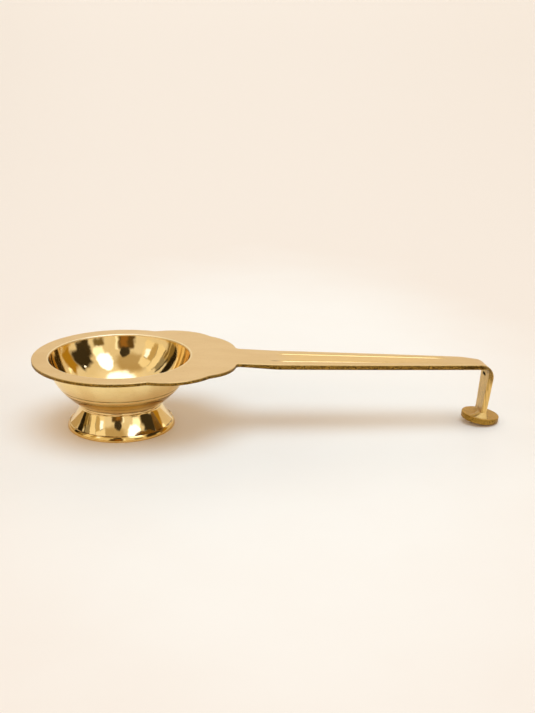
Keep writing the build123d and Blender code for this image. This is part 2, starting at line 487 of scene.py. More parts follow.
class Shader(Nodes):
    """The node tree of one material in the making."""

    def __init__(self, name: str) -> None:
        """Start a material with its shader and Object coordinates."""
        self.material = bpy.data.materials.new(name)
        self.material.use_nodes = True
        super().__init__(self.material.node_tree)
        self.surface = self.tree.nodes["Principled BSDF"]
        self.coords = self.add("ShaderNodeTexCoord").outputs["Object"]
        self.z = self.add("ShaderNodeSeparateXYZ", {0: self.coords}).outputs["Z"]

    def noise(self, grain: Grain, coords: Socket | None = None) -> Socket:
        """Add noise, about 0.5 on average.

        Args:
            grain: its grain.
            coords: coordinates to lay it on in place of the piece's own.

        Returns:
            The noise.
        """
        scale = tuple(1.0 / share for share in grain.stretch)
        inputs = {"Vector": coords or self.coords, "Scale": scale}
        placed = self.add("ShaderNodeMapping", inputs).outputs["Vector"]
        inputs = {"Vector": placed, "Scale": 1.0 / (grain.size * MM), "Detail": grain.detail}
        return self.add("ShaderNodeTexNoise", inputs).outputs[0]

    def shown(self, noise: Socket, grain: Grain, least: float = 0.0) -> Socket:
        """Return how strongly a noise shows, from its least to its grain's share."""
        return self.span(noise, *grain.span, least, grain.share)

    def scattered(self, grain: Grain) -> Socket:
        """Add a noise that is used once and return how strongly it shows."""
        return self.shown(self.noise(grain), grain)

    def zone(self, zone: Zone) -> Socket:
        """Read a worked zone of the mesh."""
        return self.add("ShaderNodeAttribute", attribute_name=zone.value).outputs["Fac"]

    def distance(self, centre: Triple, stretch: Triple = (1, 1, 1)) -> Socket:
        """Return the distance from a place, in metres.

        Args:
            centre: the place in millimetres.
            stretch: by how much distances count less along each axis.

        Returns:
            The distance.
        """
        scale = tuple(1.0 / share for share in stretch)
        shift = tuple(-c * MM / share for c, share in zip(centre, stretch))
        inputs = {"Vector": self.coords, "Location": shift, "Scale": scale}
        placed = self.add("ShaderNodeMapping", inputs).outputs["Vector"]
        return self.add("ShaderNodeVectorMath", {0: placed}, operation="LENGTH").outputs["Value"]

    def spot(self, spot: Spot) -> Socket:
        """Return a spot's share in its core, falling to 0 at its radius."""
        away = self.distance(spot.centre, spot.stretch)
        return self.span(away, spot.core * spot.radius * MM, spot.radius * MM, spot.share, 0.0)

    def bump(self, height: Socket, depth: float) -> None:
        """Add a layer of relief over the layers that are there.

        Args:
            height: relief from 0 to 1.
            depth: its real depth in millimetres.
        """
        inputs: dict[str | int, Value] = {"Height": height, "Distance": depth * MM}
        if self.surface.inputs["Normal"].is_linked:
            inputs["Normal"] = self.surface.inputs["Normal"].links[0].from_socket
        made = self.add("ShaderNodeBump", inputs)
        self.tree.links.new(made.outputs["Normal"], self.surface.inputs["Normal"])

    def metal(self, colour: Socket, roughness: Socket) -> Material:
        """Connect a metal's colour and roughness and return the material."""
        self.surface.inputs["Metallic"].default_value = 1.0
        self.tree.links.new(colour, self.surface.inputs["Base Color"])
        self.tree.links.new(roughness, self.surface.inputs["Roughness"])
        return self.material


@dataclass(frozen=True)
class GroundBrass:
    """Plate finish: belt-ground satin on top, buffed ribs, a painted highlight on the mouth's lip, dull
    sand-cast walls.
    """

    ground: Colour = (0.87, 0.66, 0.36)
    ground_shade: Colour = (0.82, 0.605, 0.31)
    panel: Colour = (0.9, 0.66, 0.3)
    buffed: Colour = (0.84, 0.6, 0.2)
    filed: Colour = (0.86, 0.58, 0.2)
    filed_shade: Colour = (0.36, 0.21, 0.045)
    # Painted highlight: a pale colour laid on the mouth's lip
    rim: Colour = (0.99, 0.84, 0.54)
    cast: Colour = (0.47, 0.27, 0.052)
    cast_shade: Colour = (0.05, 0.026, 0.004)
    # Near-black colour of the painted shade in the pit
    painted_pit_shade: Colour = (0.006, 0.004, 0.002)
    ground_roughness: float = 0.36
    cast_roughness: float = 0.46
    buffed_roughness: float = 0.2
    pit_roughness: float = 0.95
    cloud: Grain = Grain(9.0, (3, 1, 1))
    belt: Grain = Grain(0.22, (24, 1, 1), 2.0, (0.35, 0.75), 0.3)
    belt_depth: float = 0.003
    # A span of the belt lines, and the change of roughness over it
    belt_rough: Sequence[float] = (0.3, 0.7, -0.04, 0.05)
    sand: Grain = Grain(0.5, detail=5.0, span=(0.38, 0.66))
    sand_depth: float = 0.1
    mottle: Grain = Grain(0.8, detail=2.0, span=(0.62, 0.74), share=0.25)
    strokes: Grain = Grain(0.7, (1, 1, 16), 4.0, (0.46, 0.66), 0.75)
    # A dark dash on the top where the front rib begins
    dark_dash_spot: Spot = Spot((76.0, -5.2, 34.4), 1.0, (3.6, 0.75, 1), 0.75)
    # Painted shade: a near-black spot where a small pit would hold shadow; the surface stays flat
    painted_pit_shade_spot: Spot = Spot((179.95, 0.8, 24.9), 1.5, (1, 2.2, 0.7))
    # Darker patches along the top of the wall round the bend
    bend_wall_dark_patches: Sequence[Spot] = (
        Spot((172.5, -6.5, 30.4), 1.0, (7.0, 3.0, 0.9), 0.8),
        Spot((178.5, -6.2, 30.2), 1.0, (2.6, 3.0, 0.9), 0.8),
        Spot((181.8, -6.0, 29.0), 1.0, (1.7, 3.0, 2.0), 0.8),
    )

    def material(self) -> Material:
        """Build the material."""
        shader = Shader("ground_brass")
        cast, buffed, panel, filed, rim = (shader.zone(zone) for zone in Zone)
        lines, sand = shader.noise(self.belt), shader.noise(self.sand)
        top = shader.blend(shader.scattered(self.cloud), self.ground, self.ground_shade)
        top = shader.blend(shader.shown(lines, self.belt), top, self.ground_shade)
        top = shader.blend(panel, top, self.panel)
        # Painted highlight on the mouth's lip
        top = shader.blend(rim, top, self.rim)
        scraped = shader.blend(shader.scattered(self.strokes), self.filed, self.filed_shade)
        top = shader.blend(filed, top, scraped)
        top = shader.blend(buffed, top, self.buffed)
        top = shader.blend(shader.scattered(self.mottle), top, self.cast)
        # Darken the dash where the front rib begins
        top = shader.blend(shader.spot(self.dark_dash_spot), top, self.cast_shade)
        wall = shader.blend(shader.shown(sand, self.sand), self.cast_shade, self.cast)
        # Darken the top of the wall round the bend
        for bend_wall_dark_patch in self.bend_wall_dark_patches:
            wall = shader.blend(shader.spot(bend_wall_dark_patch), wall, self.cast_shade)
        colour = shader.blend(cast, top, wall)
        # Painted shade of the pit, with the pit's own high roughness
        painted_pit_shade = shader.spot(self.painted_pit_shade_spot)
        colour = shader.blend(painted_pit_shade, colour, self.painted_pit_shade)
        smooth = shader.between(buffed, self.ground_roughness, self.buffed_roughness)
        smooth = shader.maths("ADD", smooth, shader.span(lines, *self.belt_rough))
        roughness = shader.between(cast, smooth, self.cast_roughness)
        roughness = shader.between(painted_pit_shade, roughness, self.pit_roughness)
        shader.bump(lines, self.belt_depth)
        shader.bump(shader.maths("MULTIPLY", sand, cast), self.sand_depth)
        return shader.metal(colour, roughness)


@dataclass(frozen=True)
class TurnedBrass:
    """Turned brass: fine tool lines round the axis under a polish. Outside the cup it is satin and lightened
    as painted light; low down it takes a painted dark reflection with streaks.
    """

    name: str
    bright: Colour = (0.93, 0.71, 0.36)
    shade: Colour = (0.88, 0.63, 0.27)
    # Painted light: the cup's upper outside is lightened to stand in for the bright floor that it mirrors
    outer: Colour = (1.0, 0.79, 0.38)
    # Painted dark reflection low on the outside, below the cup's turned lines and on the pedestal's ring
    deep: Colour = (0.43, 0.25, 0.035)
    roughness: float = 0.06
    satin_roughness: float = 0.24
    # Height of a ball's centre and its radius, past which the metal counts as outside
    ball: Pair = (0.0, 0.0)
    ball_skin: float = 0.01
    # Heights over which the outside turns to the painted dark reflection below; on the cup the polish starts
    # there too
    painted_reflection_heights: Pair = (-2.0, -1.0)
    # Tarnish in the turned lines, also the dark end of the painted reflection's streaks
    tarnish_and_painted_reflection: Colour = (0.2, 0.1, 0.012)
    tarnish_heights: Sequence[Pair] = ()
    tarnish_soft: float = 0.1
    tarnish_least: float = 0.1
    tool: Grain = Grain(0.35)
    tool_depth: float = 0.0012
    # Streaks in the painted dark reflection
    painted_reflection_streaks: Grain = Grain(1.3, detail=2.0, span=(0.48, 0.62))
    painted_reflection_streak_share: float = 0.0
    cloud: Grain = Grain(11.0, span=(0.35, 0.65), share=0.6)
    cloud_depth: float = 0.02
    smudge: Grain = Grain(3.5, detail=4.0, span=(0.42, 0.62))
    # A span of the smudges, and the change of roughness over it
    smudge_rough: Sequence[float] = (0.35, 0.7, -0.015, 0.03)

    def material(self) -> Material:
        """Build the material."""
        shader = Shader(self.name)
        radius = shader.distance((0.0, 0.0, 0.0), (1, 1, 1e6))
        turned = shader.add("ShaderNodeCombineXYZ", {"X": radius, "Z": shader.z}).outputs["Vector"]
        tool, painted_reflection_streaks = shader.noise(self.tool, turned), shader.noise(self.painted_reflection_streaks, turned)
        cloud, smudge = shader.noise(self.cloud), shader.noise(self.smudge)
        beyond = shader.distance((0.0, 0.0, self.ball[0]))
        outside = shader.span(beyond, self.ball[1] * MM, (self.ball[1] + self.ball_skin) * MM)
        # Share of the painted dark reflection, from the heights below
        low = shader.span(shader.z, *(height * MM for height in self.painted_reflection_heights), 1.0, 0.0)
        # Painted light: the outside is lightened
        colour = shader.blend(outside, self.bright, self.outer)
        colour = shader.blend(shader.shown(cloud, self.cloud), colour, self.shade)
        # Painted dark reflection, with streaks, low on the outside
        painted_streaks = shader.span(painted_reflection_streaks, *self.painted_reflection_streaks.span, 0.0, self.painted_reflection_streak_share)
        painted_streaks = shader.blend(painted_streaks, self.deep, self.tarnish_and_painted_reflection)
        colour = shader.blend(shader.maths("MULTIPLY", outside, low), colour, painted_streaks)
        for start, end in self.tarnish_heights:
            band = shader.within(shader.z, (start * MM, end * MM), self.tarnish_soft * MM)
            patchy = shader.shown(smudge, self.smudge, self.tarnish_least)
            patchy = shader.maths("MULTIPLY", band, patchy)
            colour = shader.blend(shader.maths("MULTIPLY", patchy, outside), colour, self.tarnish_and_painted_reflection)
        satin = shader.maths("MULTIPLY", outside, shader.maths("SUBTRACT", 1.0, low))
        roughness = shader.between(satin, self.roughness, self.satin_roughness)
        roughness = shader.maths("ADD", roughness, shader.span(smudge, *self.smudge_rough))
        shader.bump(tool, self.tool_depth)
        shader.bump(cloud, self.cloud_depth)
        return shader.metal(colour, roughness)


@dataclass(frozen=True)
class CastBrass:
    """Brushed or filed metal over a rough casting or a filler run."""

    name: str
    bright: Colour = (0.65, 0.385, 0.08)
    shade: Colour = (0.22, 0.12, 0.016)
    roughness: float = 0.32
    cast_roughness: float = 0.45
    sand: Grain = Grain(0.7, detail=4.0, span=(0.4, 0.62))
    sand_depth: float = 0.05
    cloud: Grain = Grain(5.0, span=(0.3, 0.6))
    cloud_least: float = 0.35
    brush: Grain = Grain(0.25, (8, 1, 8), 2.0)
    brush_depth: float = 0.005
    brush_rough: Pair = (-0.05, 0.06)
    brushed_dirt: float = 0.35
    # Dirt all over the cast skin, and what the worn places add
    cast_dirt: Pair = (0.45, 0.55)

    def material(self) -> Material:
        """Build the material."""
        shader = Shader(self.name)
        sand, cloud, brush = (shader.noise(grain) for grain in (self.sand, self.cloud, self.brush))
        cast = shader.zone(Zone.CAST)
        patches = shader.shown(cloud, self.cloud, self.cloud_least)
        worn = shader.maths("MULTIPLY", shader.shown(sand, self.sand), patches)
        dirty = shader.maths("ADD", shader.maths("MULTIPLY", worn, self.cast_dirt[1]), self.cast_dirt[0])
        dirt = shader.between(cast, shader.maths("MULTIPLY", worn, self.brushed_dirt), dirty)
        colour = shader.blend(dirt, self.bright, self.shade)
        rough = shader.between(cast, self.roughness, self.cast_roughness)
        change = shader.span(brush, *self.brush.span, *self.brush_rough)
        shader.bump(brush, self.brush_depth)
        shader.bump(sand, self.sand_depth)
        return shader.metal(colour, shader.maths("ADD", rough, change))


# The lamp's pieces


@dataclass
class Lamp:
    """Sizes that the pieces share, as on the drawing of the solids."""

    collar_top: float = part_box("handle_plate")[1].z / MM
    collar_radius: float = -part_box("handle_plate")[0].x / MM
    collar_thickness: float = 1.7
    mouth_radius: float = 34.3
    seat_height: float = 34.6
    inner_sphere: float = 35.4475
    bowl_wall: float = 1.7
    bowl_bottom: float = 8.1
    shoulder_droop: float = math.radians(2.7)
    blade_droop: float = math.radians(1.3)
    lean: float = math.radians(7.9)
    neck_x: float = 57.0
    foot_x: float = 178.85
    leg_thickness: float = 2.8
    disc_radius: float = 9.35
    disc_thickness: float = 3.1
    disc_bottom_rounding: float = 0.8

    @property
    def sphere_centre(self) -> float:
        """Return the height of the cup's centre."""
        return self.bowl_bottom + self.inner_sphere

    @property
    def outer_sphere(self) -> float:
        """Return the radius of the cup's outside."""
        return self.inner_sphere + self.bowl_wall

    @property
    def foot_height(self) -> float:
        """Return the height of the rear foot's middle, whose outer edge touches the floor."""
        rounding = self.disc_bottom_rounding
        return (self.disc_radius - rounding) * math.sin(self.lean) + rounding * (1 - math.cos(self.lean))

    def outside_radius(self, height: float) -> float:
        """Return the radius of the cup's outside at a height."""
        return math.sqrt(self.outer_sphere**2 - (self.sphere_centre - height) ** 2)

    def outside_height(self, radius: float) -> float:
        """Return the height of the cup's outside at a radius."""
        return self.sphere_centre - math.sqrt(self.outer_sphere**2 - radius**2)

    def foot_matrix(self) -> Matrix:
        """Return the placing of the rear foot, square to the leaning leg, in millimetres."""
        sine, cosine = math.sin(self.lean), math.cos(self.lean)
        return Matrix(
            (
                (cosine, 0, sine, self.foot_x),
                (0, 1, 0, 0),
                (-sine, 0, cosine, self.foot_height),
                (0, 0, 0, 1),
            )
        )


@dataclass
class Station:
    """One cross-section of the blade or leg."""

    top: np.ndarray
    under: np.ndarray
    wall_cast: float = 1.0
    under_cast: float = 1.0
    filed: float = 0.0
    sag: np.ndarray = field(default_factory=lambda: np.zeros(2))


@dataclass
class HandlePlate:
    """The cast plate: collar, scalloped shoulders, ribbed blade, bend and leg."""

    lamp: Lamp
    notch_x: float = 15.5
    valley: Pair = (44.0, 30.8)
    neck_half_width: float = 11.8
    first_scallop_rise: float = 4.9
    second_scallop_rise: float = 3.0
    notch_rounding: float = 4.0
    valley_rounding: float = 4.0
    neck_rounding: float = 2.5
    blade_end_half_width: float = 5.6
    blade_side_bow: float = 0.65
    blade_thickness: float = 2.55
    swell_length: float = 20.0
    droop_rounding: float = 200.0
    bend_outer_radius: float = 6.8
    bend_inner_radius: float = 1.6
    twist: float = 1.2
    twist_x: Pair = (167.0, 182.0)
    lip_rounding: float = 0.6
    lip_steps: int = 6
    edge_rounding: float = 0.25
    edge_angles: Sequence[float] = (30, 60, 90)
    edge_cast: Sequence[float] = (0.0, 0.2, 0.6)
    edge_buffed: Sequence[float] = (0.7, 0.8, 0.3)
    under_rounding: float = 0.12
    seat_clearance: float = 0.1
    rib_start: float = 19.5
    rib_end: float = 106.0
    rib_spread: Pair = (5.7, 3.6)
    rib_width: float = 1.9
    rib_height: float = 0.4
    rib_fades: Pair = (3.5, 7.0)
    # How fast the field between the ribs fades in and out along them
    panel_fades: Pair = (8.0, 4.0)
    worn_x: Pair = (112.0, 142.0)
    worn_height: float = 0.35
    # Cast skin left on the bend's walls and under it, and how far the bend is filed
    bend_work: Triple = (0.85, 0.8, 0.8)
    leg_under_cast: float = 0.35
    leg_bared: float = 0.75
    # Share of the leg at which the file's work on its walls starts, and how fast it grows
    leg_filed: Pair = (0.04, 5.0)
    outline_step: float = 0.6
    station_step: float = 1.0
    bend_steps: int = 16
    leg_steps: int = 24
    # Places across half the blade, as spans with their number of samples
    column_knots: Sequence[tuple[float, float, int]] = (
        (0.0, 0.36, 5),
        (0.36, 0.7, 19),
        (0.7, 0.97, 5),
        (0.97, 1.0, 2),
    )
    ring_shares: Sequence[float] = (0.03, 0.1, 0.22, 0.35, 0.48, 0.61, 0.74, 0.87, 0.95, 0.985, 1.0)
    wall_rows: int = 4
    sand: Sand = Sand(0.5, 0.07, 4.0)
    side: Ring = field(init=False)

    def outline(self) -> tuple[np.ndarray, np.ndarray]:
        """Sample the plate's outline from the neck round the collar and back to the neck.

        Returns:
            Points and outward directions, one row each.
        """
        lamp = self.lamp
        notch = (self.notch_x, math.sqrt(lamp.collar_radius**2 - self.notch_x**2))
        neck = (lamp.neck_x, self.neck_half_width)
        bend_x = self.bend_corner(0.0, lamp.leg_thickness / 2)[0]
        blade_end = (bend_x + lamp.leg_thickness, self.blade_end_half_width)
        rings = [
            Ring((0.0, 0.0), lamp.collar_radius),
            bulging(notch, self.valley, self.first_scallop_rise),
            bulging(self.valley, neck, self.second_scallop_rise),
            bulging(neck, blade_end, self.blade_side_bow),
        ]
        self.side = rings[-1]
        corners = (
            (notch, self.notch_rounding),
            (self.valley, self.valley_rounding),
            (neck, self.neck_rounding),
        )
        points, normals = [], []
        start = np.array((-lamp.collar_radius, 0.0))
        for (corner, rounding), one, two in zip(corners, rings, rings[1:]):
            turn = inner_corner(one, two, rounding, corner)
            leave, arrive = one.towards(turn.centre), two.towards(turn.centre)
            bulge = one.arc(start, leave, self.outline_step)
            hollow = turn.arc(leave, arrive, self.outline_step)
            points += [bulge[:-1], hollow[:-1]]
            normals += [(bulge[:-1] - one.centre) / one.radius, (turn.centre - hollow[:-1]) / turn.radius]
            start = arrive
        points.append(start[None, :])
        normals.append((start[None, :] - self.side.centre) / self.side.radius)
        half, out = np.vstack(points), np.vstack(normals)
        mirror = np.array((1.0, -1.0))
        return np.vstack((half[::-1], half[1:] * mirror)), np.vstack((out[::-1], out[1:] * mirror))

    def half_width(self, x: float) -> float:
        """Return the blade's half width at a distance along the handle."""
        return self.side.centre[1] + math.sqrt(self.side.radius**2 - (x - self.side.centre[0]) ** 2)

    def top(self, x: float) -> float:
        """Return the height of the plate's top, with a gentle bend where each droop begins."""
        lamp = self.lamp
        first, second = math.tan(lamp.shoulder_droop), math.tan(lamp.blade_droop)
        fall = first * self.eased(x - lamp.collar_radius, lamp.shoulder_droop)
        past_swell = x - lamp.neck_x - self.swell_length
        gain = (first - second) * self.eased(past_swell, lamp.shoulder_droop - lamp.blade_droop)
        return lamp.collar_top - fall + gain

    def eased(self, past: float, turn: float) -> float:
        """Return the distance past a corner of the side view, eased over the corner's rounding.

        Args:
            past: distance past the sharp corner, negative before it.
            turn: the corner's angle in radians.

        Returns:
            The eased distance, never negative.
        """
        run = self.droop_rounding * math.tan(turn / 2)
        return max(0.0, past) if abs(past) >= run else (past + run) ** 2 / (4 * run)

    def thickness(self, x: float) -> float:
        """Return the plate's thickness at a distance along the handle."""
        share = min(max((x - self.lamp.neck_x) / self.swell_length, 0.0), 1.0)
        return self.lamp.collar_thickness + share * (self.blade_thickness - self.lamp.collar_thickness)

    def bend_corner(self, drop: float, offset: float) -> Pair:
        """Find where a line below the blade's top meets a line beside the leg's middle.

        Args:
            drop: distance below the blade's top.
            offset: distance from the leg's middle, outwards.

        Returns:
            The crossing as (x, height).
        """
        lamp = self.lamp
        leg_x = lamp.foot_x + offset / math.cos(lamp.lean) - lamp.foot_height * math.tan(lamp.lean)
        height = (self.top(leg_x) - drop) / (1 + math.tan(lamp.blade_droop) * math.tan(lamp.lean))
        return (leg_x + height * math.tan(lamp.lean), height)

    def twisted(self, x: float) -> float:
        """Return how far the hand-made bend pulls the rear edge in at a distance along the handle."""
        share = min(max((x - self.twist_x[0]) / (self.twist_x[1] - self.twist_x[0]), 0.0), 1.0)
        return self.twist * share**2 * (3 - 2 * share)

    def rib_place(self, x: float) -> Pair:
        """Return the share of the ribs' length at x, and how far from the blade's middle they run there."""
        share = (x - self.lamp.neck_x - self.rib_start) / (self.rib_end - self.rib_start)
        return share, self.rib_spread[0] + share * (self.rib_spread[1] - self.rib_spread[0])

    def rib(self, x: float, y: float) -> float:
        """Return the height of the ribs over the blade's top, the front one ground down towards the bend."""
        share, middle = self.rib_place(x)
        across = (abs(y) - middle) / (self.rib_width / 2)
        if not 0 < share < 1 or abs(across) >= 1:
            return 0.0
        length = self.rib_end - self.rib_start
        fade = min(1.0, share * length / self.rib_fades[0], (1 - share) * length / self.rib_fades[1])
        worn = np.interp(x, self.worn_x, (1.0, self.worn_height)) if y < 0 else 1.0
        return self.rib_height * fade * worn * (1 - across**2)

    def panel(self, x: float, y: float) -> float:
        """Return how far a point lies in the field between the ribs, which the belt barely reached."""
        share, middle = self.rib_place(x)
        if not 0 < share < 1:
            return 0.0
        along = min(1.0, share * self.panel_fades[0], (1 - share) * self.panel_fades[1])
        return along * min(max((middle - abs(y)) / (self.rib_width / 2), 0.0), 1.0)

    def columns(self) -> np.ndarray:
        """Return the places across the blade, from 1 on one side to -1 on the other, closest at the ribs."""
        half = np.concatenate([np.linspace(*knot)[1:] for knot in self.column_knots])
        return np.concatenate((half[::-1], (0.0,), -half))

    def wall(
        self,
        skin: Skin,
        top: np.ndarray,
        under: np.ndarray,
        out: np.ndarray,
        cast: float = 1.0,
        filed: float = 0.0,
    ) -> list[int]:
        """Run down the plate's edge, from its rounded upper edge to its lower one.

        Args:
            skin: the mesh in the making.
            top: the wall's sharp upper corner.
            under: the wall's sharp lower corner.
            out: outward direction.
            cast: share of cast skin left on the wall.
            filed: share of the wall's metal that a file has bared.

        Returns:
            The points between the top's last and the underside's first.
        """
        depth = float(np.linalg.norm(under - top))
        down = (under - top) / depth
        edge, low = self.edge_rounding, self.under_rounding
        points = []
        for angle in np.radians(self.edge_angles):
            points.append(top - out * edge * (1 - math.sin(angle)) + down * edge * (1 - math.cos(angle)))
        for share in np.linspace(0, 1, self.wall_rows + 2)[1:]:
            points.append(top + down * (edge + share * (depth - edge - low)))
        slack = low * (1 - math.sqrt(0.5))
        points.append(under - out * slack - down * slack)
        below = self.wall_rows + 2
        worked = np.array((*self.edge_cast, *(1.0,) * below))
        buffed = (*self.edge_buffed, *(0.0,) * below)
        return skin.row(points, cast=cast * worked, buffed=buffed, filed=filed * worked)

    def ray(self, skin: Skin, end: np.ndarray, out: np.ndarray) -> tuple[list[int], list[int]]:
        """Add one section of the collar, from the mouth out along the top, and from the edge back underneath.

        Args:
            skin: the mesh in the making.
            end: the section's outer end as (x, y).
            out: outward direction of the edge, or zero at the neck, where the blade goes on.

        Returns:
            Point numbers along the top and along the underside.
        """
        lamp = self.lamp
        unit = end / np.linalg.norm(end)
        top_end, under_end = end - out * self.edge_rounding, end - out * self.under_rounding
        flat, drops = [], []
        for angle in np.radians(np.linspace(180, 90, self.lip_steps)):
            flat.append(unit * (lamp.mouth_radius + self.lip_rounding * (1 + math.cos(angle))))
            drops.append(self.lip_rounding * (math.sin(angle) - 1))
        crest = flat[-1]
        for share in self.ring_shares:
            flat.append(crest + (top_end - crest) * share)
            drops.append(0.0)
        # The lip's points, which take the painted highlight of the mouth
        rim = [1.0] * self.lip_steps + [0.0] * len(self.ring_shares)
        points = [(*place, self.top(place[0]) + drop) for place, drop in zip(flat, drops)]
        top = skin.row(points, rim=rim)
        seat = unit * (lamp.outside_radius(lamp.seat_height) + self.seat_clearance)
        flat = [under_end + (seat - under_end) * share for share in (0.0, *self.ring_shares)]
        points = [(*place, self.top(place[0]) - self.thickness(place[0])) for place in flat]
        points += [(*seat, lamp.seat_height), (*(unit * lamp.mouth_radius), lamp.seat_height)]
        return top, skin.row(points, cast=[1.0] * len(flat) + [0.0, 0.0])

    def collar(self, skin: Skin, columns: np.ndarray) -> tuple[list[int], ...]:
        """Build the collar and the shoulders.

        Args:
            skin: the mesh in the making.
            columns: places across the blade, from 1 to -1.

        Returns:
            Point numbers of the neck: top, wall on the -Y side, underside and wall on the +Y side.
        """
        points, normals = self.outline()
        inside = points[0][1] - self.edge_rounding
        neck = [(np.array((points[0][0], inside * share)), np.zeros(2)) for share in columns[-2:0:-1]]
        rays = [self.ray(skin, end, out) for end, out in (*zip(points, normals), *neck)]
        walls = []
        for end, out in zip(points, normals):
            high = np.array((*end, self.top(end[0])))
            low = high - (0.0, 0.0, self.thickness(end[0]))
            walls.append(self.wall(skin, high, low, np.array((*out, 0.0))))
        for index, (top, under) in enumerate(rays):
            next_top, next_under = rays[(index + 1) % len(rays)]
            skin.strip(top, next_top)
            skin.strip(under, next_under)
            skin.strip([under[-1], top[0]], [next_under[-1], next_top[0]])
            if index + 1 < len(walls):
                skin.strip(
                    [top[-1], *walls[index], under[0]],
                    [next_top[-1], *walls[index + 1], next_under[0]],
                )
        last = len(walls) - 1
        order = [0, *range(len(rays) - 1, last, -1), last]
        return [rays[ray][0][-1] for ray in order], walls[last], [rays[ray][1][0] for ray in order], walls[0]

    def stations(self) -> list[Station]:
        """Place the cross-sections along the blade, round the bend and down the leg."""
        lamp = self.lamp
        turn = math.pi / 2 + lamp.lean - lamp.blade_droop
        ahead = np.array((math.cos(lamp.blade_droop), -math.sin(lamp.blade_droop)))
        upright = np.array((math.sin(lamp.blade_droop), math.cos(lamp.blade_droop)))
        starts, centres = [], []
        radii = (self.bend_outer_radius, self.bend_inner_radius)
        half = lamp.leg_thickness / 2
        for drop, offset, radius in zip((0.0, self.blade_thickness), (half, -half), radii):
            start = np.array(self.bend_corner(drop, offset)) - ahead * radius * math.tan(turn / 2)
            starts.append(start)
            centres.append(start - upright * radius)
        found = []
        swell_x = lamp.neck_x + self.swell_length
        neck_x = self.outline()[0][0][0]
        for x in np.arange(neck_x, swell_x - self.station_step / 2, self.station_step)[1:]:
            found.append(Station(np.array((x, self.top(x))), np.array((x, self.top(x) - self.thickness(x)))))
        count = math.ceil((starts[0][0] - swell_x) / self.station_step)
        for share in np.linspace(0, 1, count + 1):
            high, low = (swell_x + share * (start[0] - swell_x) for start in starts)
            under = np.array((low, self.top(low) - self.blade_thickness))
            sag = -upright * self.twisted(high)
            found.append(Station(np.array((high, self.top(high))), under, sag=sag))
        for angle in np.linspace(0, turn, self.bend_steps + 1)[1:]:
            out = np.array((math.sin(lamp.blade_droop + angle), math.cos(lamp.blade_droop + angle)))
            high, low = (centre + radius * out for centre, radius in zip(centres, radii))
            found.append(Station(high, low, *self.bend_work, -out * self.twisted(high[0])))
        ends = [lamp.foot_matrix() @ Vector((offset, 0, lamp.disc_thickness)) for offset in (half, -half)]
        last = found[-1]
        for share in np.linspace(0, 1, self.leg_steps + 1)[1:]:
            filed = min(max((share - self.leg_filed[0]) * self.leg_filed[1], 0.0), 1.0)
            high = (1 - share) * last.top + share * np.array((ends[0].x, ends[0].z))
            low = (1 - share) * last.under + share * np.array((ends[1].x, ends[1].z))
            cast = last.wall_cast - self.leg_bared * filed
            found.append(Station(high, low, cast, self.leg_under_cast, 1.0, last.sag * (1 - share)))
        return found

    def section(self, skin: Skin, place: Station, columns: np.ndarray) -> tuple[list[int], ...]:
        """Add one cross-section of the blade or leg.

        Args:
            skin: the mesh in the making.
            place: where it stands.
            columns: places across it, from 1 to -1.

        Returns:
            Point numbers of its top, the wall on its -Y side, its underside and the wall on its +Y side.
        """
        (top_x, top_z), (under_x, under_z) = place.top, place.under
        high, low = self.half_width(top_x), self.half_width(under_x)
        across = columns * (high - self.edge_rounding)
        ribs = np.array([self.rib(top_x, y) for y in across])
        panels = [self.panel(top_x, y) for y in across]
        pulled = [place.sag * (1 + share) / 2 for share in columns]
        points = [(top_x + sag[0], y, top_z + rib + sag[1]) for y, rib, sag in zip(across, ribs, pulled)]
        top = skin.row(points, buffed=ribs / self.rib_height, panel=panels)
        under = skin.row(
            [
                (under_x + sag[0], (low - self.under_rounding) * share, under_z + sag[1])
                for share, sag in zip(columns, pulled)
            ],
            cast=place.under_cast,
            filed=place.filed,
        )
        walls = []
        for side in (-1.0, 1.0):
            sag = np.array((place.sag[0], 0.0, place.sag[1])) * (1 + side) / 2
            start = np.array((top_x, side * high, top_z)) + sag
            end = np.array((under_x, side * low, under_z)) + sag
            out = np.array((0.0, side, 0.0))
            walls.append(self.wall(skin, start, end, out, place.wall_cast, place.filed))
        return top, walls[0], under, walls[1]

    def mesh(self) -> Object:
        """Build the plate's mesh."""
        skin = Skin()
        columns = self.columns()
        one = self.collar(skin, columns)
        for place in self.stations():
            two = self.section(skin, place, columns)
            skin.strip(one[0], two[0])
            skin.strip(one[2], two[2])
            for end, wall in ((-1, 1), (0, 3)):
                skin.strip([one[0][end], *one[wall], one[2][end]], [two[0][end], *two[wall], two[2][end]])
            one = two
        top, right, under, left = one
        skin.faces.append((*top, *right, *under[::-1], *left[::-1]))
        return skin.piece("lamp_plate")

    def build(self, sand: Tree, material: Material) -> None:
        """Build the plate and eat the sand's grain into its cast skin."""
        piece = self.mesh()
        self.sand.eat(piece, sand, material)
        settle(piece, Slot.SATIN, "handle_plate")


